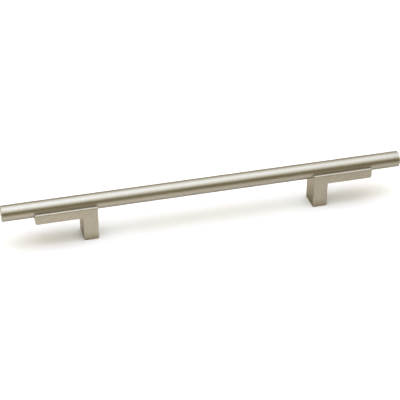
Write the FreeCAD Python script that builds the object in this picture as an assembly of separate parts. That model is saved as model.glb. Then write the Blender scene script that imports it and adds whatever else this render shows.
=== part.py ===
import FreeCAD, Part
import math
import os

# T bar cabinet pull: a hollow round bar lying in the saddles of two cast L-shaped posts.
# Each post has a leg with the hole for a cabinet screw, and an arm that points outwards
# under the bar. A countersunk screw through the arm pulls the bar down into the saddle.
# +X runs along the bar and +Z points away from the cabinet. The origin lies on the cabinet
# face, midway between the two fixing holes. Sizes are in millimetres.

V = FreeCAD.Vector
X_AXIS = V(1, 0, 0)
Y_AXIS = V(0, 1, 0)
Z_AXIS = V(0, 0, 1)
ORIGIN = V(0, 0, 0)

# Bar and end caps
bar_overhang = 25.5  # of the bar beyond each arm's end
bar_diameter = 13.0
bar_wall = 1.2
cap_collar = 3.5  # the part of a cap that shows beyond the tube
cap_chamfer = 0.5
seam_chamfer = 0.15  # on both sides of the seam between tube and cap
spigot_length = 8.0
spigot_wall = 1.0
spigot_lead = 0.5

# Posts
hole_spacing = 192.0  # between the two cabinet screws
leg_width = 12.0  # along the bar
post_length = 50.0  # from the leg's inner face to the arm's end
arm_clearance = 20.9  # from the cabinet face to the arm's underside
land_drop = 0.85  # the lands lie this far below the bar's axis
lip_width = 2.5  # of each land, beside the bar
shoulder_radius = 1.1  # of the long upper edges, beside the bar
edge_radius = 0.5
blend_margin = 0.15  # an outline corner is at least this much rounder than the edge along it
arm_end_radius = 1.8
foot_outer_radius = 1.4
foot_inner_radius = 0.8
tapped_hole_radius = 1.65  # drilled for M4
tapped_hole_depth = 15.0
mouth_chamfer = 0.35
drill_point_angle = 118.0

# Countersunk M3 screws that hold the bar, and their nuts inside the tube
screw_diameter = 3.0
screw_head_diameter = 6.0
screw_head_rim = 0.2
screw_head_recess = 0.2
screw_tip_chamfer = 0.3
hex_across_flats = 2.0
hex_depth = 1.1
seat_land = 1.1  # straight hole between the countersink and the saddle
thread_engagement = 4.0
nut_length = 14.0
nut_height = 5.0
nut_chamfer = 0.4

# Clearances
fit_clearance = 0.05  # of pieces that seat on or in each other, on the radius
screw_clearance = 0.2  # of the screw in its plain holes, on the radius

same_plane = 1e-6  # points nearer to a plane than this lie in it

# Worked out: places along the bar
leg_centre = hole_spacing / 2
leg_inner = leg_centre - leg_width / 2
leg_outer = leg_centre + leg_width / 2
arm_end = leg_inner + post_length
screw_place = (leg_outer + arm_end) / 2
bar_end = arm_end + bar_overhang
cap_shoulder = bar_end - cap_collar

# Worked out: the bar and its caps
bar_radius = bar_diameter / 2
bore_radius = bar_radius - bar_wall
tube_length = 2 * cap_shoulder
spigot_radius = bore_radius - fit_clearance
spigot_hollow_radius = spigot_radius - spigot_wall

# Worked out: the screw and its seat
screw_radius = screw_diameter / 2
head_radius = screw_head_diameter / 2
plain_hole_radius = screw_radius + screw_clearance
seat_radius = head_radius + fit_clearance
seat_depth = screw_head_recess + screw_head_rim
seat_cone = seat_radius - plain_hole_radius
saddle_floor = seat_depth + seat_cone + seat_land

# Worked out: heights above the cabinet face
saddle_radius = bar_radius + fit_clearance
axis_height = arm_clearance + saddle_floor + saddle_radius
land_height = axis_height - land_drop
nut_radius = bore_radius - fit_clearance
nut_bottom = axis_height - nut_radius
screw_bottom = arm_clearance + screw_head_recess
screw_top = nut_bottom + thread_engagement

# Worked out: the post across the bar, and its corners
post_half_depth = math.sqrt(saddle_radius**2 - land_drop**2) + lip_width
corner_radius = edge_radius + blend_margin


def rounded_outline(corners):
    """Face in the plane y = 0 from corners (x, z, radius), each a tangent arc, or sharp at 0."""
    arcs = []
    ends = []
    for i, (x, z, radius) in enumerate(corners):
        corner = V(x, 0, z)
        if radius == 0:
            arcs.append([])
            ends.append((corner, corner))
            continue
        before = V(corners[i - 1][0], 0, corners[i - 1][1]) - corner
        following = corners[(i + 1) % len(corners)]
        after = V(following[0], 0, following[1]) - corner
        before.normalize()
        after.normalize()
        half_angle = before.getAngle(after) / 2
        bisector = before + after
        bisector.normalize()
        tangent = radius / math.tan(half_angle)
        middle = corner + bisector * (radius / math.sin(half_angle) - radius)
        start = corner + before * tangent
        end = corner + after * tangent
        arcs.append([Part.Arc(start, middle, end).toShape()])
        ends.append((start, end))
    edges = []
    for i, arc in enumerate(arcs):
        next_start = ends[(i + 1) % len(ends)][0]
        edges += arc + [Part.LineSegment(ends[i][1], next_start).toShape()]
    return Part.Face(Part.Wire(edges))


def turned(points, axis):
    """Solid turned about an axis through the origin from a closed outline of points."""
    outline = Part.Face(Part.makePolygon(points + points[:1]))
    return outline.revolve(ORIGIN, axis, 360)


def edges_in_plane(shape, axis, place):
    """The edges of a shape whose ends lie in the plane across an axis at one place."""
    return [e for e in shape.Edges if all(abs(v.Point.dot(axis) - place) < same_plane for v in e.Vertexes)]


def tube():
    """Drawn round tube with a screw hole through its underside over each arm."""
    start = V(-cap_shoulder, 0, axis_height)
    outside = Part.makeCylinder(bar_radius, tube_length, start, X_AXIS)
    rims = [e for e in outside.Edges if isinstance(e.Curve, Part.Circle)]
    body = outside.makeChamfer(seam_chamfer, rims)
    body = body.cut(Part.makeCylinder(bore_radius, tube_length, start, X_AXIS))
    for side in (-1, 1):
        foot = V(side * screw_place, 0, axis_height - bar_diameter)
        body = body.cut(Part.makeCylinder(plain_hole_radius, bar_diameter, foot, Z_AXIS))
    return body


def end_cap():
    """Turned cap: a collar as wide as the bar and a hollow spigot that fits the tube's bore."""
    tip = cap_shoulder - spigot_length
    points = [
        V(bar_end, 0, 0),
        V(bar_end, 0, bar_radius - cap_chamfer),
        V(bar_end - cap_chamfer, 0, bar_radius),
        V(cap_shoulder + seam_chamfer, 0, bar_radius),
        V(cap_shoulder, 0, bar_radius - seam_chamfer),
        V(cap_shoulder, 0, spigot_radius),
        V(tip + spigot_lead, 0, spigot_radius),
        V(tip, 0, spigot_radius - spigot_lead),
        V(tip, 0, spigot_hollow_radius),
        V(cap_shoulder, 0, spigot_hollow_radius),
        V(cap_shoulder, 0, 0),
    ]
    body = turned(points, X_AXIS)
    body.translate(V(0, 0, axis_height))
    return body


def post_blank():
    """The post's L as one rounded block, before the saddle and holes are cut."""
    corners = [
        (leg_inner, 0, max(foot_inner_radius, corner_radius)),
        (leg_outer, 0, max(foot_outer_radius, corner_radius)),
        (leg_outer, arm_clearance, corner_radius),
        (arm_end, arm_clearance, max(arm_end_radius, corner_radius)),
        (arm_end, land_height, 0),
        (leg_inner, land_height, 0),
    ]
    outline = rounded_outline(corners)
    outline.translate(V(0, -post_half_depth, 0))
    blank = outline.extrude(V(0, 2 * post_half_depth, 0))
    top = edges_in_plane(blank, Z_AXIS, land_height)
    blank = blank.makeFillet(shoulder_radius, [e for e in top if e.Length > 2 * post_half_depth + same_plane])
    shoulder_start = land_height - shoulder_radius
    seams = edges_in_plane(blank, Z_AXIS, shoulder_start)
    sides = edges_in_plane(blank, Y_AXIS, -post_half_depth) + edges_in_plane(blank, Y_AXIS, post_half_depth)
    rims = [e for e in sides if not any(e.isSame(seam) for seam in seams)]
    for end in (leg_inner, arm_end):
        for edge in edges_in_plane(blank, X_AXIS, end):
            lowest = min(v.Z for v in edge.Vertexes)
            if lowest > shoulder_start - same_plane and edge not in rims:
                rims.append(edge)
    return blank.makeFillet(edge_radius, rims)


def cabinet_screw_hole():
    """Blind tapped hole in the leg's foot, with a chamfered mouth and a drill point."""
    foot = V(leg_centre, 0, 0)
    bore = Part.makeCylinder(tapped_hole_radius, tapped_hole_depth, foot, Z_AXIS)
    point_height = tapped_hole_radius / math.tan(math.radians(drill_point_angle / 2))
    point_start = V(leg_centre, 0, tapped_hole_depth)
    point = Part.makeCone(tapped_hole_radius, 0, point_height, point_start, Z_AXIS)
    mouth_radius = tapped_hole_radius + mouth_chamfer
    mouth = Part.makeCone(mouth_radius, tapped_hole_radius, mouth_chamfer, foot, Z_AXIS)
    return bore.fuse([point, mouth])


def bar_screw_hole():
    """Countersunk plain hole up through the arm into the saddle."""
    foot = V(screw_place, 0, arm_clearance)
    bore = Part.makeCylinder(plain_hole_radius, saddle_floor + saddle_radius, foot, Z_AXIS)
    seat = Part.makeCylinder(seat_radius, seat_depth, foot, Z_AXIS)
    cone_start = foot + V(0, 0, seat_depth)
    cone = Part.makeCone(seat_radius, plain_hole_radius, seat_cone, cone_start, Z_AXIS)
    return bore.fuse([seat, cone])


def post():
    """Cast post: the L-shaped block with its half-round saddle and both screw holes."""
    saddle_start = V(leg_inner - edge_radius, 0, axis_height)
    saddle = Part.makeCylinder(saddle_radius, post_length + 2 * edge_radius, saddle_start, X_AXIS)
    return post_blank().cut([saddle, cabinet_screw_hole(), bar_screw_hole()])


def hex_socket():
    """Six-sided socket cut up into the screw's head."""
    corner_distance = hex_across_flats / 2 / math.cos(math.radians(30))
    points = []
    for i in range(7):
        angle = math.radians(60 * i)
        points.append(V(corner_distance * math.cos(angle), corner_distance * math.sin(angle), 0))
    socket = Part.Face(Part.makePolygon(points)).extrude(V(0, 0, hex_depth))
    socket.translate(V(0, 0, screw_bottom))
    return socket


def bar_screw():
    """Countersunk socket screw, head down in the arm's underside."""
    cone_start = screw_bottom + screw_head_rim
    points = [
        V(0, 0, screw_bottom),
        V(head_radius, 0, screw_bottom),
        V(head_radius, 0, cone_start),
        V(screw_radius, 0, cone_start + head_radius - screw_radius),
        V(screw_radius, 0, screw_top - screw_tip_chamfer),
        V(screw_radius - screw_tip_chamfer, 0, screw_top),
        V(0, 0, screw_top),
    ]
    body = turned(points, Z_AXIS).cut(hex_socket())
    body.translate(V(screw_place, 0, 0))
    return body


def bar_nut():
    """Flat-topped nut whose round back lies on the tube's inner wall."""
    start = V(screw_place - nut_length / 2, 0, axis_height)
    rod = Part.makeCylinder(nut_radius, nut_length, start, X_AXIS)
    rims = [e for e in rod.Edges if isinstance(e.Curve, Part.Circle)]
    rod = rod.makeChamfer(nut_chamfer, rims)
    corner = V(start.x, -nut_radius, nut_bottom)
    keep = Part.makeBox(nut_length, 2 * nut_radius, nut_height, corner)
    foot = V(screw_place, 0, nut_bottom - fit_clearance)
    thread_radius = screw_radius + fit_clearance
    thread = Part.makeCylinder(thread_radius, nut_height + 2 * fit_clearance, foot, Z_AXIS)
    return rod.common(keep).cut(thread)


def at_both_ends(name, shape):
    """The same piece at the right end and, turned half round, at the left end."""
    left = shape.copy()
    left.rotate(ORIGIN, Z_AXIS, 180)
    return {name + "_right": shape, name + "_left": left}


def all_pieces():
    """Every node's name with its solid."""
    pieces = {"bar_tube": tube()}
    pieces.update(at_both_ends("end_cap", end_cap()))
    pieces.update(at_both_ends("post", post()))
    pieces.update(at_both_ends("bar_screw", bar_screw()))
    pieces.update(at_both_ends("bar_nut", bar_nut()))
    return pieces


os.makedirs("parts", exist_ok=True)
for node, shape in all_pieces().items():
    solid = shape.Solids[0]
    solid.exportStep("parts/" + node + ".step")
    print(node, len(shape.Solids), "solid", shape.isValid(), round(solid.Volume, 1), "mm3")
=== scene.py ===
import math

import bmesh
import bpy
import numpy as np
from mathutils import Matrix, Vector


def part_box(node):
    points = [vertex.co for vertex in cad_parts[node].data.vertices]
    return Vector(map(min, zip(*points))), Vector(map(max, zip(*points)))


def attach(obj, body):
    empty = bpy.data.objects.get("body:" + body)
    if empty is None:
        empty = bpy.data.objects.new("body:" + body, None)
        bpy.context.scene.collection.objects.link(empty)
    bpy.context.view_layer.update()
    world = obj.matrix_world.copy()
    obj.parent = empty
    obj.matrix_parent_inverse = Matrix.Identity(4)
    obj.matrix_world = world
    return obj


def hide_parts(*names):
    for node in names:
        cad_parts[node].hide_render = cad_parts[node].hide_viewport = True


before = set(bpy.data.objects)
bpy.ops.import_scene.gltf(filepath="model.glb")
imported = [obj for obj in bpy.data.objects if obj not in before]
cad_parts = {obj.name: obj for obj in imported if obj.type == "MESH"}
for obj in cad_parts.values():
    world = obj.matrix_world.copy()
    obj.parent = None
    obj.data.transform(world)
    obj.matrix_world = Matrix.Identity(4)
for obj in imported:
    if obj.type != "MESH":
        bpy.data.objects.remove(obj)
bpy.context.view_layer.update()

# Looks of a satin nickel bar pull: a round capped tube in the saddles of two cast L-shaped
# posts, on a white floor under a broad overhead light. Metres, +X along the bar, +Y away
# from the viewer, +Z up.

MM = 0.001

# Places and sizes from the frame
tube_low, tube_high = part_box("bar_tube")
cap_low, cap_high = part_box("end_cap_right")
post_low, post_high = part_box("post_right")
screw_low, screw_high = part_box("bar_screw_right")
bar_radius = (tube_high.z - tube_low.z) / 2
axis_height = (tube_high.z + tube_low.z) / 2
tube_end = tube_high.x
bar_end = cap_high.x
spigot_tip = cap_low.x
post_half_depth = post_high.y
screw_place = (screw_low.x + screw_high.x) / 2

# Sizes that the boxes don't give
bar_wall = 1.2 * MM
seam_round = 0.15 * MM
cap_round = 0.5 * MM
spigot_wall = 1.0 * MM
spigot_lead = 0.5 * MM
leg_width = 12.0 * MM
arm_underside = 20.9 * MM
edge_round = 0.5 * MM
shoulder_round = 1.1 * MM
lip_round = 0.4 * MM
corner_round = 0.65 * MM
arm_end_round = 1.8 * MM
foot_outer_round = 1.4 * MM
foot_inner_round = 0.8 * MM
fit_clearance = 0.05 * MM
plain_hole_radius = 1.7 * MM
seat_radius = 3.05 * MM
seat_depth = 0.4 * MM
tapped_hole_radius = 1.65 * MM
tapped_hole_depth = 15.0 * MM
mouth_chamfer = 0.35 * MM
drill_point = 0.99 * MM

# How finely the surfaces are divided
around = 160
arc_steps = 8
shoulder_steps = 12
bevel_steps = 5

# How far a cutter reaches past what it cuts, and within what distance points are one
overshoot = 1.0 * MM
same_place = 1e-7

# Degrees between two faces over which their edge is bevelled, and over which it looks sharp
bevelled_over = 40
sharp_over = 35

# How far a normal leans away from the axes where an edge counts in full
full_lean = 0.25

# Finishes: colours, and how much the grain, the clouds and the edges change them
bar_colour = (0.50, 0.465, 0.385)
post_colour = (0.56, 0.518, 0.426)
screw_colour = (0.55, 0.55, 0.56)
colour_spread = 0.12
# The edges' share of the colour is a painted highlight on the posts' rounded edges.
grain_shade, cloud_shade, edge_highlight = 0.06, 0.03, 0.10
grain_rough, cloud_rough, edge_rough = 0.05, 0.03, -0.05
grain_strength = 0.4

# Spots of the clouds and the blotches in a metre
cloud_spots = (30, 30, 30)
blotch_spots = (600, 600, 600)

# Painted shade on the bar, a darker strip beside each saddle: the share of its colour that it
# keeps, the heights from the bar's axis where it starts and is full, and half the width of its
# soft ends
saddle_shade_share = (0.68, 0.66, 0.60)
saddle_shade_top, saddle_shade_high = 2.4 * MM, 0.4 * MM
saddle_shade_bottom, saddle_shade_low = -0.9 * MM, -0.1 * MM
saddle_shade_soft = 0.5 * MM

# Camera: place, turn to the right, down and round in degrees, lens and film in millimetres,
# and how far it sees in metres
camera_place = Vector((-0.2554, -0.9299, 0.6412))
camera_turn = (15.110, 32.950, 0.268)
camera_lens = 127.38
film_width = 36
camera_range = 100

# Light round the bar: half turns from the front horizon, over the top, to the back one
studio_light = [
    (0.00, (0.17, 0.12, 0.02)),
    (0.12, (0.16, 0.11, 0.01)),
    (0.20, (0.38, 0.33, 0.13)),
    (0.245, (1.16, 1.10, 0.96)),
    (0.31, (1.71, 1.84, 2.09)),
    (0.40, (1.76, 1.97, 2.32)),
    (0.48, (2.55, 2.75, 3.60)),
    (0.58, (1.68, 1.87, 2.28)),
    (0.70, (1.56, 1.62, 1.68)),
    (0.80, (0.60, 0.50, 0.36)),
    (1.00, (0.12, 0.10, 0.05)),
]
light_below = (0.85, 0.84, 0.80)

# Share of that light by how far its direction leans towards an end of the bar
sides_in_metal = [
    (0.00, (1.06, 1.05, 1.05)),
    (0.25, (0.975, 0.965, 0.91)),
    (0.40, (0.84, 0.82, 0.72)),
    (0.75, (0.34, 0.31, 0.24)),
    (1.00, (0.26, 0.23, 0.17)),
]
sides_on_floor = [
    (0.00, (1.12, 1.16, 1.18)),
    (0.40, (0.88, 0.87, 0.76)),
    (0.75, (0.34, 0.12, 0.00)),
    (1.00, (0.34, 0.12, 0.00)),
]

# Floor: its colour to the camera, and its colours in the metal by the place across the bar,
# which are painted light and shade: dark beneath the bar where its shadow falls, and dimmer
# far in front and behind
white = (1, 1, 1)
floor_reach = 6.0
floor_white = (1.17, 1.19, 1.16)
floor_painted_tones = [
    (-0.40, (0.20, 0.185, 0.115)),
    (-0.20, (0.35, 0.33, 0.23)),
    (-0.10, (0.61, 0.59, 0.48)),
    (-0.045, (0.88, 0.87, 0.81)),
    (-0.02, (0.92, 0.92, 0.88)),
    (-0.012, (0.83, 0.84, 0.82)),
    (-0.002, (0.48, 0.46, 0.40)),
    (0.004, (0.46, 0.44, 0.36)),
    (0.015, (0.60, 0.57, 0.48)),
    (0.03, (0.78, 0.75, 0.65)),
    (0.05, (0.90, 0.87, 0.76)),
    (0.20, (0.65, 0.62, 0.54)),
]

# In the metal the floor fades to the right by the slope for each metre, within limits, which is
# painted light falling off to the right, and it has painted shade where the metal is closer than
# the reach. Nearer than the gap it isn't there.
floor_middle = 1.04
floor_slope = 0.6
floor_least, floor_most = 0.7, 1.25
close_reach = 12 * MM
close_painted_shade = (0.60, 0.52, 0.33)
foot_gap = 0.05 * MM


# Shapes

def rounded_path(corners, steps=arc_steps):
    """Points of a path whose corners (a, b, radius) are arcs.

    At a corner with half angle h the arc of radius r touches its two straight runs at
    r / tan(h) and has its centre r / sin(h) along the bisector. Between the touching points
    its spoke turns evenly, as a spherical mean of the first and the last.
    """
    corners = np.array(corners, float)
    places = corners[:, :2]
    points = []
    for i, radius in enumerate(corners[:, 2]):
        if radius == 0:
            points.append(places[i:i + 1])
            continue
        back = places[i - 1] - places[i]
        ahead = places[(i + 1) % len(places)] - places[i]
        back /= np.linalg.norm(back)
        ahead /= np.linalg.norm(ahead)
        half = math.acos(np.clip(back @ ahead, -1, 1)) / 2
        touch = radius / math.tan(half)
        middle = (back + ahead) / np.linalg.norm(back + ahead)
        centre = places[i] + middle * radius / math.sin(half)
        first = places[i] + back * touch - centre
        last = places[i] + ahead * touch - centre
        turn = math.pi - 2 * half
        share = np.linspace(0, 1, steps + 1)[:, None]
        spoke = (np.sin((1 - share) * turn) * first + np.sin(share * turn) * last) / math.sin(turn)
        points.append(centre + spoke)
    return np.vstack(points)


def surface(name, grid, wrap_rows=False, caps=False):
    """A mesh piece from a grid of points, rows by columns, with quads between neighbours.

    Every row closes round. The columns do so too with wrap_rows, and with caps the first and
    the last row are filled.
    """
    rows, columns = grid.shape[:2]
    index = np.arange(rows * columns).reshape(rows, columns)
    if wrap_rows:
        index = np.vstack([index, index[:1]])
    index = np.hstack([index, index[:, :1]])
    quads = np.stack([index[:-1, :-1], index[:-1, 1:], index[1:, 1:], index[1:, :-1]], axis=-1)
    faces = quads.reshape(-1, 4).tolist()
    if caps:
        faces.append(list(range(columns))[::-1])
        faces.append(list(range((rows - 1) * columns, rows * columns)))
    mesh = bpy.data.meshes.new(name)
    mesh.from_pydata(grid.reshape(-1, 3).tolist(), [], faces)
    piece = bpy.data.objects.new(name, mesh)
    bpy.context.scene.collection.objects.link(piece)
    close_up(mesh)
    return piece


def close_up(mesh):
    """Merges the points of seams and poles, and turns all faces outwards."""
    work = bmesh.new()
    work.from_mesh(mesh)
    bmesh.ops.remove_doubles(work, verts=work.verts, dist=same_place)
    bmesh.ops.recalc_face_normals(work, faces=work.faces)
    work.to_mesh(mesh)
    work.free()


def turned(name, profile, axis="x", place=(0, 0, 0), closed=False):
    """A profile (along, radius) turned about the x or z axis through a place.

    The point at angle t is (along, radius cos t, radius sin t), with the axes in that order
    for x and moved round by one for z. About z the angles lie half a step on, so that no
    corner of a hole meets a line of the tube that it goes through.
    """
    half_step = math.pi / around if axis == "z" else 0
    angle = np.linspace(0, 2 * math.pi, around, endpoint=False) + half_step
    along = np.repeat(profile[:, :1], around, axis=1)
    one = profile[:, 1:] * np.cos(angle)
    other = profile[:, 1:] * np.sin(angle)
    grid = np.stack([along, one, other] if axis == "x" else [one, other, along], axis=-1)
    return surface(name, grid + np.array(place), wrap_rows=closed)


def extruded(name, section, low, high, axis):
    """A closed section carried straight along an axis, with a flat at each end.

    Along y the section's points are (x, z), and along x they are (y, z).
    """
    ends = np.array([low, high])[:, None] * np.ones((1, len(section)))
    first, second = (np.repeat(section[None, :, i], 2, axis=0) for i in (0, 1))
    grid = np.stack([first, ends, second] if axis == "y" else [ends, first, second], axis=-1)
    return surface(name, grid, caps=True)


def settle(piece):
    """Makes the result of the piece's modifiers its mesh."""
    ready = piece.evaluated_get(bpy.context.evaluated_depsgraph_get())
    mesh = bpy.data.meshes.new_from_object(ready)
    piece.modifiers.clear()
    piece.data = mesh


def carve(piece, cutters):
    """Takes the cutters' shapes out of the piece and removes the cutters."""
    for cutter in cutters:
        change = piece.modifiers.new("carve", "BOOLEAN")
        change.operation = "DIFFERENCE"
        change.solver = "EXACT"
        change.object = cutter
    settle(piece)
    for cutter in cutters:
        bpy.data.objects.remove(cutter)


def smooth(piece):
    """Shades the piece smooth, apart from its sharp edges, with its flats kept flat."""
    piece.data.shade_smooth()
    piece.data.set_sharp_from_angle(angle=math.radians(sharp_over))
    flats = piece.modifiers.new("flats", "WEIGHTED_NORMAL")
    flats.keep_sharp = True
    settle(piece)


def mark_edges(piece):
    """Stores how far each point's normal leans away from the axes.

    It is 0 on flats and 1 on a rounded edge.
    """
    mesh = piece.data
    normals = np.empty(len(mesh.vertices) * 3, np.float32)
    mesh.vertex_normals.foreach_get("vector", normals)
    flatness = np.abs(normals.reshape(-1, 3)).max(axis=1)
    lean = np.clip((1 - flatness) / full_lean, 0, 1)
    mesh.attributes.new("edge", "FLOAT", "POINT").data.foreach_set("value", lean)


# Pieces

def make_tube():
    """Drawn tube: a closed profile of outer wall and bore turned about the bar's axis."""
    bore = bar_radius - bar_wall
    corners = [
        (-tube_end, bore, seam_round / 2),
        (tube_end, bore, seam_round / 2),
        (tube_end, bar_radius, seam_round),
        (-tube_end, bar_radius, seam_round),
    ]
    profile = rounded_path(corners)
    tube = turned("tube", profile, place=(0, 0, axis_height), closed=True)
    low = axis_height - bar_radius - overshoot
    hole = np.array([
        (low, 0), (low, plain_hole_radius), (axis_height, plain_hole_radius), (axis_height, 0),
    ])
    carve(tube, [turned("hole", hole, "z", (side * screw_place, 0, 0)) for side in (-1, 1)])
    smooth(tube)
    return tube


def make_cap(side, name):
    """Turned cap: a collar with a rounded rim, and a hollow spigot inside the tube."""
    spigot = bar_radius - bar_wall - fit_clearance
    hollow = spigot - spigot_wall
    corners = [
        (bar_end, 0, 0),
        (bar_end, bar_radius, cap_round),
        (tube_end, bar_radius, seam_round),
        (tube_end, spigot, seam_round / 2),
        (spigot_tip, spigot, spigot_lead),
        (spigot_tip, hollow, seam_round),
        (tube_end, hollow, seam_round),
        (tube_end, 0, 0),
    ]
    profile = rounded_path(corners)
    profile[:, 0] *= side
    cap = turned(name, profile, place=(0, 0, axis_height))
    smooth(cap)
    return cap


def post_block(name):
    """The right post's L outline carried across the bar, with rounded shoulders beside the bar."""
    inner = post_low.x
    outer = inner + leg_width
    end = post_high.x
    top = post_high.z
    corners = [
        (inner, 0, foot_inner_round),
        (outer, 0, foot_outer_round),
        (outer, arm_underside, corner_round),
        (end, arm_underside, arm_end_round),
        (end, top, 0),
        (inner, top, 0),
    ]
    block = extruded(name, rounded_path(corners), -post_half_depth, post_half_depth, "y")
    shoulders = []
    for side in (-1, 1):
        face = side * post_half_depth
        beyond = side * (post_half_depth + overshoot)
        flat = side * (post_half_depth - shoulder_round)
        corners = [
            (beyond, top - shoulder_round, 0),
            (face, top - shoulder_round, 0),
            (face, top, shoulder_round),
            (flat, top, 0),
            (flat, top + overshoot, 0),
            (beyond, top + overshoot, 0),
        ]
        section = rounded_path(corners, shoulder_steps)
        shoulders.append(extruded("shoulder", section, inner - overshoot, end + overshoot, "x"))
    carve(block, shoulders)
    bevel = block.modifiers.new("edges", "BEVEL")
    bevel.width = edge_round
    bevel.segments = bevel_steps
    bevel.limit_method = "ANGLE"
    bevel.angle_limit = math.radians(bevelled_over)
    settle(block)
    return block


def saddle_section():
    """The saddle's section (y, z): a half round whose two upper edges are rounded into the land.

    The lip's arc touches the land from below and the saddle's arc from outside, so its centre
    lies one lip radius under the land, and the sum of both radii from the bar's axis.
    """
    saddle = bar_radius + fit_clearance
    depth = axis_height - post_high.z
    lip_z = -depth - lip_round
    lip_y = math.sqrt((saddle + lip_round) ** 2 - lip_z ** 2)
    meet = math.atan2(-lip_z, lip_y)
    turn = np.linspace(0, 1, 2 * arc_steps + 1)
    lip_angle = math.pi / 2 + (math.pi / 2 - meet) * turn
    lip = lip_round * np.stack([np.cos(lip_angle), np.sin(lip_angle)], axis=-1) + (lip_y, lip_z)
    round_angle = -meet - (math.pi - 2 * meet) * np.linspace(0, 1, around // 2)[1:-1]
    bottom = saddle * np.stack([np.cos(round_angle), np.sin(round_angle)], axis=-1)
    above = np.array([(lip_y, overshoot)])
    right = np.vstack([above, lip])
    left = right[::-1] * (-1, 1)
    return np.vstack([right, bottom, left]) + (0, axis_height)


def post_cutters():
    """The shapes that saddle, screw seat and tapped hole take out of the right post."""
    low, rim = arm_underside - overshoot, arm_underside + seat_depth
    cone = rim + seat_radius - plain_hole_radius
    seat = np.array([
        (low, 0), (low, seat_radius), (rim, seat_radius), (cone, plain_hole_radius),
        (axis_height, plain_hole_radius), (axis_height, 0),
    ])
    mouth = tapped_hole_radius + mouth_chamfer
    bore = np.array([
        (-overshoot, 0), (-overshoot, mouth), (0, mouth), (mouth_chamfer, tapped_hole_radius),
        (tapped_hole_depth, tapped_hole_radius), (tapped_hole_depth + drill_point, 0),
    ])
    leg_centre = post_low.x + leg_width / 2
    return [
        extruded("groove", saddle_section(), post_low.x - overshoot, post_high.x + overshoot, "x"),
        turned("seat", seat, "z", (screw_place, 0, 0)),
        turned("bore", bore, "z", (leg_centre, 0, 0)),
    ]


def make_posts():
    """Both cast posts: the left one is the right one turned half round."""
    right = post_block("post_casting_right")
    carve(right, post_cutters())
    left = bpy.data.objects.new("post_casting_left", right.data.copy())
    bpy.context.scene.collection.objects.link(left)
    left.data.transform(Matrix.Rotation(math.pi, 4, "Z"))
    for post in (right, left):
        smooth(post)
        mark_edges(post)
    return right, left


# Shader maths

class Value:
    """A shader socket. Sums, differences, products and quotients add their Math nodes."""

    def __init__(self, socket):
        self.socket = socket

    def maths(self, operation, *values):
        tree = self.socket.id_data
        return node(tree, "ShaderNodeMath", dict(enumerate(values)), operation=operation)

    def __add__(self, other):
        return self.maths("ADD", self, other)

    __radd__ = __add__

    def __mul__(self, other):
        return self.maths("MULTIPLY", self, other)

    __rmul__ = __mul__

    def __sub__(self, other):
        return self.maths("SUBTRACT", self, other)

    def __rsub__(self, other):
        return self.maths("SUBTRACT", other, self)

    def __truediv__(self, other):
        return self.maths("DIVIDE", self, other)

    def __getitem__(self, output):
        return Value(self.socket.node.outputs[output])

    def size(self):
        return self.maths("ABSOLUTE", self)

    def under(self, limit):
        return self.maths("LESS_THAN", self, limit)

    def between(self, least, most):
        return self.maths("MINIMUM", self.maths("MAXIMUM", self, least), most)


def node(tree, kind, inputs=None, output=0, stops=None, **settings):
    """A node of any kind, as the value of one of its outputs.

    Its settings and a ramp's stops are set first, and then the values or links of its sockets.
    """
    made = tree.nodes.new(kind)
    for setting, value in settings.items():
        setattr(made, setting, value)
    if stops:
        elements = made.color_ramp.elements
        while len(elements) < len(stops):
            elements.new(1)
        for element, (position, colour) in zip(elements, stops):
            element.position = position
            element.color = (*colour, 1)
    for socket, value in (inputs or {}).items():
        if isinstance(value, Value):
            tree.links.new(value.socket, made.inputs[socket])
        else:
            made.inputs[socket].default_value = value
    return Value(made.outputs[output]) if made.outputs else None


def mix_colours(tree, factor, first, second):
    """A colour between two, by a factor from 0 to 1.

    The node has its two colours at sockets 6 and 7, and the mixed one at output 2.
    """
    first, second = (c if isinstance(c, Value) else (*c, 1) for c in (first, second))
    inputs = {0: factor, 6: first, 7: second}
    return node(tree, "ShaderNodeMix", inputs, output=2, data_type="RGBA")


def times(tree, first, second):
    """One colour times another."""
    return node(tree, "ShaderNodeVectorMath", {0: first, 1: second}, operation="MULTIPLY")


def ramp(tree, value, stops):
    """The colour at a value, between stops that are each a position and a colour."""
    return node(tree, "ShaderNodeValToRGB", {"Fac": value}, stops=stops)


def coordinates(tree, kind="Object"):
    """The X, Y and Z of a place on a piece, or of a direction in the world."""
    where = node(tree, "ShaderNodeTexCoord", output=kind)
    return node(tree, "ShaderNodeSeparateXYZ", {0: where})


def noise(tree, spots, detail, roughness=0.5):
    """Noise between 0 and 1, with about so many spots in a metre along each axis."""
    where = node(tree, "ShaderNodeTexCoord", output="Object")
    place = node(tree, "ShaderNodeMapping", {"Vector": where, "Scale": spots})
    inputs = {"Vector": place, "Scale": 1.0, "Detail": detail, "Roughness": roughness}
    return node(tree, "ShaderNodeTexNoise", inputs)


# Materials

def painted_saddle_shade(tree):
    """Mask of the painted shade: 1 on a strip of the bar just above each saddle's edge, fading to
    0 all round it.
    """
    axes = coordinates(tree)
    aside = axes["X"].size()
    ranges = [
        (axes["Z"], axis_height + saddle_shade_top, axis_height + saddle_shade_high),
        (axes["Z"], axis_height + saddle_shade_bottom, axis_height + saddle_shade_low),
        (aside, post_low.x - saddle_shade_soft, post_low.x + saddle_shade_soft),
        (aside, post_high.x + saddle_shade_soft, post_high.x - saddle_shade_soft),
    ]
    share = 1
    for value, empty, full in ranges:
        step = {"Value": value, "From Min": empty, "From Max": full}
        share = share * node(tree, "ShaderNodeMapRange", step, interpolation_type="SMOOTHSTEP")
    return share


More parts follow.
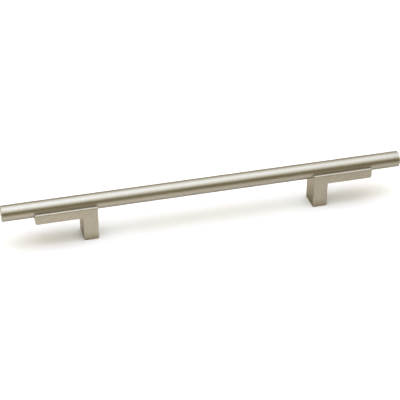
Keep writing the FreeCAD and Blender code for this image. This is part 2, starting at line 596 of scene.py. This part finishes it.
def satin_metal(name, colour, roughness, grain, grain_depth, mottle, edges=False, saddle_shade=False):
    """Plated metal with a fine grain, whose spots in a metre along the axes are its brushing.

    The mottle is the depth of its soft blotches of about a millimetre. Marked edges get a painted
    highlight, brighter in colour, and are smoother, and where asked the metal gets painted
    shade, darker beside the saddles.
    """
    material = bpy.data.materials.new(name)
    material.use_nodes = True
    tree = material.node_tree
    shader = tree.nodes["Principled BSDF"]
    shader.inputs["Metallic"].default_value = 1.0
    fine = noise(tree, grain, detail=3.0, roughness=0.6)
    streak = fine * 2 - 1
    cloud = noise(tree, cloud_spots, detail=2.0) * 2 - 1
    blotch = (noise(tree, blotch_spots, detail=1.0) - 0.5) * mottle
    worn = roughness + streak * grain_rough + cloud * cloud_rough
    shade = 0.5 + streak * grain_shade + cloud * cloud_shade + blotch
    # Painted highlight: marked edges are brighter in colour; they are also smoother.
    if edges:
        lean = node(tree, "ShaderNodeAttribute", output="Fac", attribute_name="edge")
        worn = worn + lean * edge_rough
        shade = shade + lean * edge_highlight
    dark = [c * (1 - colour_spread) for c in colour]
    light = [min(c * (1 + colour_spread), 1) for c in colour]
    tint = mix_colours(tree, shade, dark, light)
    # Painted shade: the bar's colour is darkened beside each saddle.
    if saddle_shade:
        tint = times(tree, tint, mix_colours(tree, painted_saddle_shade(tree), white, saddle_shade_share))
    relief = {"Strength": grain_strength, "Distance": grain_depth, "Height": fine}
    bump = node(tree, "ShaderNodeBump", relief)
    tree.links.new(tint.socket, shader.inputs["Base Color"])
    tree.links.new(worn.socket, shader.inputs["Roughness"])
    tree.links.new(bump.socket, shader.inputs["Normal"])
    return material


def finish_piece(piece, material, slot, *nodes):
    """Gives a piece its metal, hangs it under the root body, and hides the nodes it stands for."""
    piece.data.materials.clear()
    piece.data.materials.append(material)
    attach(piece, "root")
    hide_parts(*nodes)


# Stage, light and camera

def make_floor():
    """A wide white floor at the feet, which can be seen through from below.

    The camera sees it white. In the metal it has painted tones of light and shade that run
    across the bar, dark beneath it where its shadow falls, and fade to the right, with painted
    shade where the metal is close. It is black to rays that it has scattered before. It doesn't
    shade what touches it, so that the undersides of the feet get light from below.
    """
    corners = [(-1, -1, 0), (1, -1, 0), (1, 1, 0), (-1, 1, 0)]
    mesh = bpy.data.meshes.new("floor")
    mesh.from_pydata([Vector(c) * floor_reach for c in corners], [], [(0, 1, 2, 3)])
    floor = bpy.data.objects.new("floor", mesh)
    bpy.context.scene.collection.objects.link(floor)
    material = bpy.data.materials.new("floor")
    material.use_nodes = True
    tree = material.node_tree
    tree.nodes.clear()
    axes = coordinates(tree)
    path = node(tree, "ShaderNodeLightPath")
    near, far = floor_painted_tones[0][0], floor_painted_tones[-1][0]
    stops = [((y - near) / (far - near), colour) for y, colour in floor_painted_tones]
    # Painted light and shade on the floor in the metal: tones across the bar, dark beneath it,
    # fading to the right.
    sheet = ramp(tree, (axes["Y"] - near) / (far - near), stops)
    fade = (floor_middle - axes["X"] * floor_slope).between(floor_least, floor_most)
    fade = fade * (1 - path["Diffuse Depth"].between(0, 1))
    sheet = node(tree, "ShaderNodeVectorMath", {0: sheet, "Scale": fade}, operation="SCALE")
    # Painted shade on the floor where the metal is close.
    away = (path["Ray Length"] / close_reach).between(0, 1)
    sheet = times(tree, sheet, mix_colours(tree, away, close_painted_shade, white))
    tone = mix_colours(tree, path["Is Camera Ray"], sheet, floor_white)
    solid = node(tree, "ShaderNodeBsdfDiffuse", {"Color": tone})
    clear = node(tree, "ShaderNodeBsdfTransparent")
    below = node(tree, "ShaderNodeNewGeometry", output="Backfacing")
    open_way = (below + path["Ray Length"].under(foot_gap)).between(0, 1)
    sheet = node(tree, "ShaderNodeMixShader", {0: open_way, 1: solid, 2: clear})
    node(tree, "ShaderNodeOutputMaterial", {"Surface": sheet})
    mesh.materials.append(material)


def make_light():
    """A studio round the bar: dark in front and behind, with a broad soft light overhead.

    The light depends on the angle round the bar's direction, from the front horizon (0)
    over the top (0.5) to the back horizon (1), and it fades towards both ends of the bar,
    with a warmer tone on the floor, which gives its shadows their cream tint. From below
    comes one plain tone, which reaches only the undersides of the feet. The camera sees
    plain white instead.
    """
    world = bpy.data.worlds.new("studio")
    bpy.context.scene.world = world
    world.use_nodes = True
    world.cycles.sampling_method = "NONE"
    tree = world.node_tree
    tree.nodes.clear()
    axes = coordinates(tree, "Generated")
    path = node(tree, "ShaderNodeLightPath")
    angle = axes["Z"].maths("ARCTAN2", axes["Z"], axes["Y"] * -1) / math.pi
    aside = axes["X"].size()
    in_metal = ramp(tree, aside, sides_in_metal)
    on_floor = ramp(tree, aside, sides_on_floor)
    fall = mix_colours(tree, path["Is Diffuse Ray"], in_metal, on_floor)
    studio = times(tree, ramp(tree, angle, studio_light), fall)
    studio = mix_colours(tree, axes["Z"].under(0), studio, light_below)
    light = mix_colours(tree, path["Is Camera Ray"], studio, white)
    background = node(tree, "ShaderNodeBackground", {"Color": light, "Strength": 1.0})
    node(tree, "ShaderNodeOutputWorld", {"Surface": background})


def make_camera():
    """The photograph's camera: its place, where it looks, and its lens."""
    yaw, pitch, roll = (math.radians(a) for a in camera_turn)
    forward = Vector((
        math.sin(yaw) * math.cos(pitch),
        math.cos(yaw) * math.cos(pitch),
        -math.sin(pitch),
    ))
    level = Vector((math.cos(yaw), -math.sin(yaw), 0))
    above = level.cross(forward)
    right = level * math.cos(roll) + above * math.sin(roll)
    up = above * math.cos(roll) - level * math.sin(roll)
    data = bpy.data.cameras.new("camera")
    data.sensor_width = film_width
    data.lens = camera_lens
    data.clip_end = camera_range
    camera = bpy.data.objects.new("camera", data)
    bpy.context.scene.collection.objects.link(camera)
    turn = Matrix((right, up, -forward)).transposed().to_4x4()
    camera.matrix_world = Matrix.Translation(camera_place) @ turn
    bpy.context.scene.camera = camera


# The bar's metal has painted shade beside the saddles.
bar_metal = satin_metal(
    "bar_nickel", bar_colour, roughness=0.41, grain=(60, 6000, 6000), grain_depth=0.01 * MM,
    mottle=0.6, saddle_shade=True,
)
post_metal = satin_metal(
    "post_nickel", post_colour, roughness=0.52, grain=(4000, 4000, 900), grain_depth=0.01 * MM,
    mottle=1.2, edges=True,
)
screw_metal = satin_metal(
    "screw_zinc", screw_colour, roughness=0.3, grain=(3000, 3000, 3000), grain_depth=0.005 * MM,
    mottle=0,
)

finish_piece(make_tube(), bar_metal, "bar_finish", "bar_tube")
finish_piece(make_cap(1, "cap_right"), bar_metal, "bar_finish", "end_cap_right")
finish_piece(make_cap(-1, "cap_left"), bar_metal, "bar_finish", "end_cap_left")
post_right, post_left = make_posts()
finish_piece(post_right, post_metal, "post_finish", "post_right")
finish_piece(post_left, post_metal, "post_finish", "post_left")
for part in ("bar_screw", "bar_nut"):
    for side in ("left", "right"):
        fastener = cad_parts[part + "_" + side]
        fastener.data.materials.clear()
        fastener.data.materials.append(screw_metal)

make_floor()
make_light()
make_camera()
bpy.context.scene.view_settings.view_transform = "Standard"
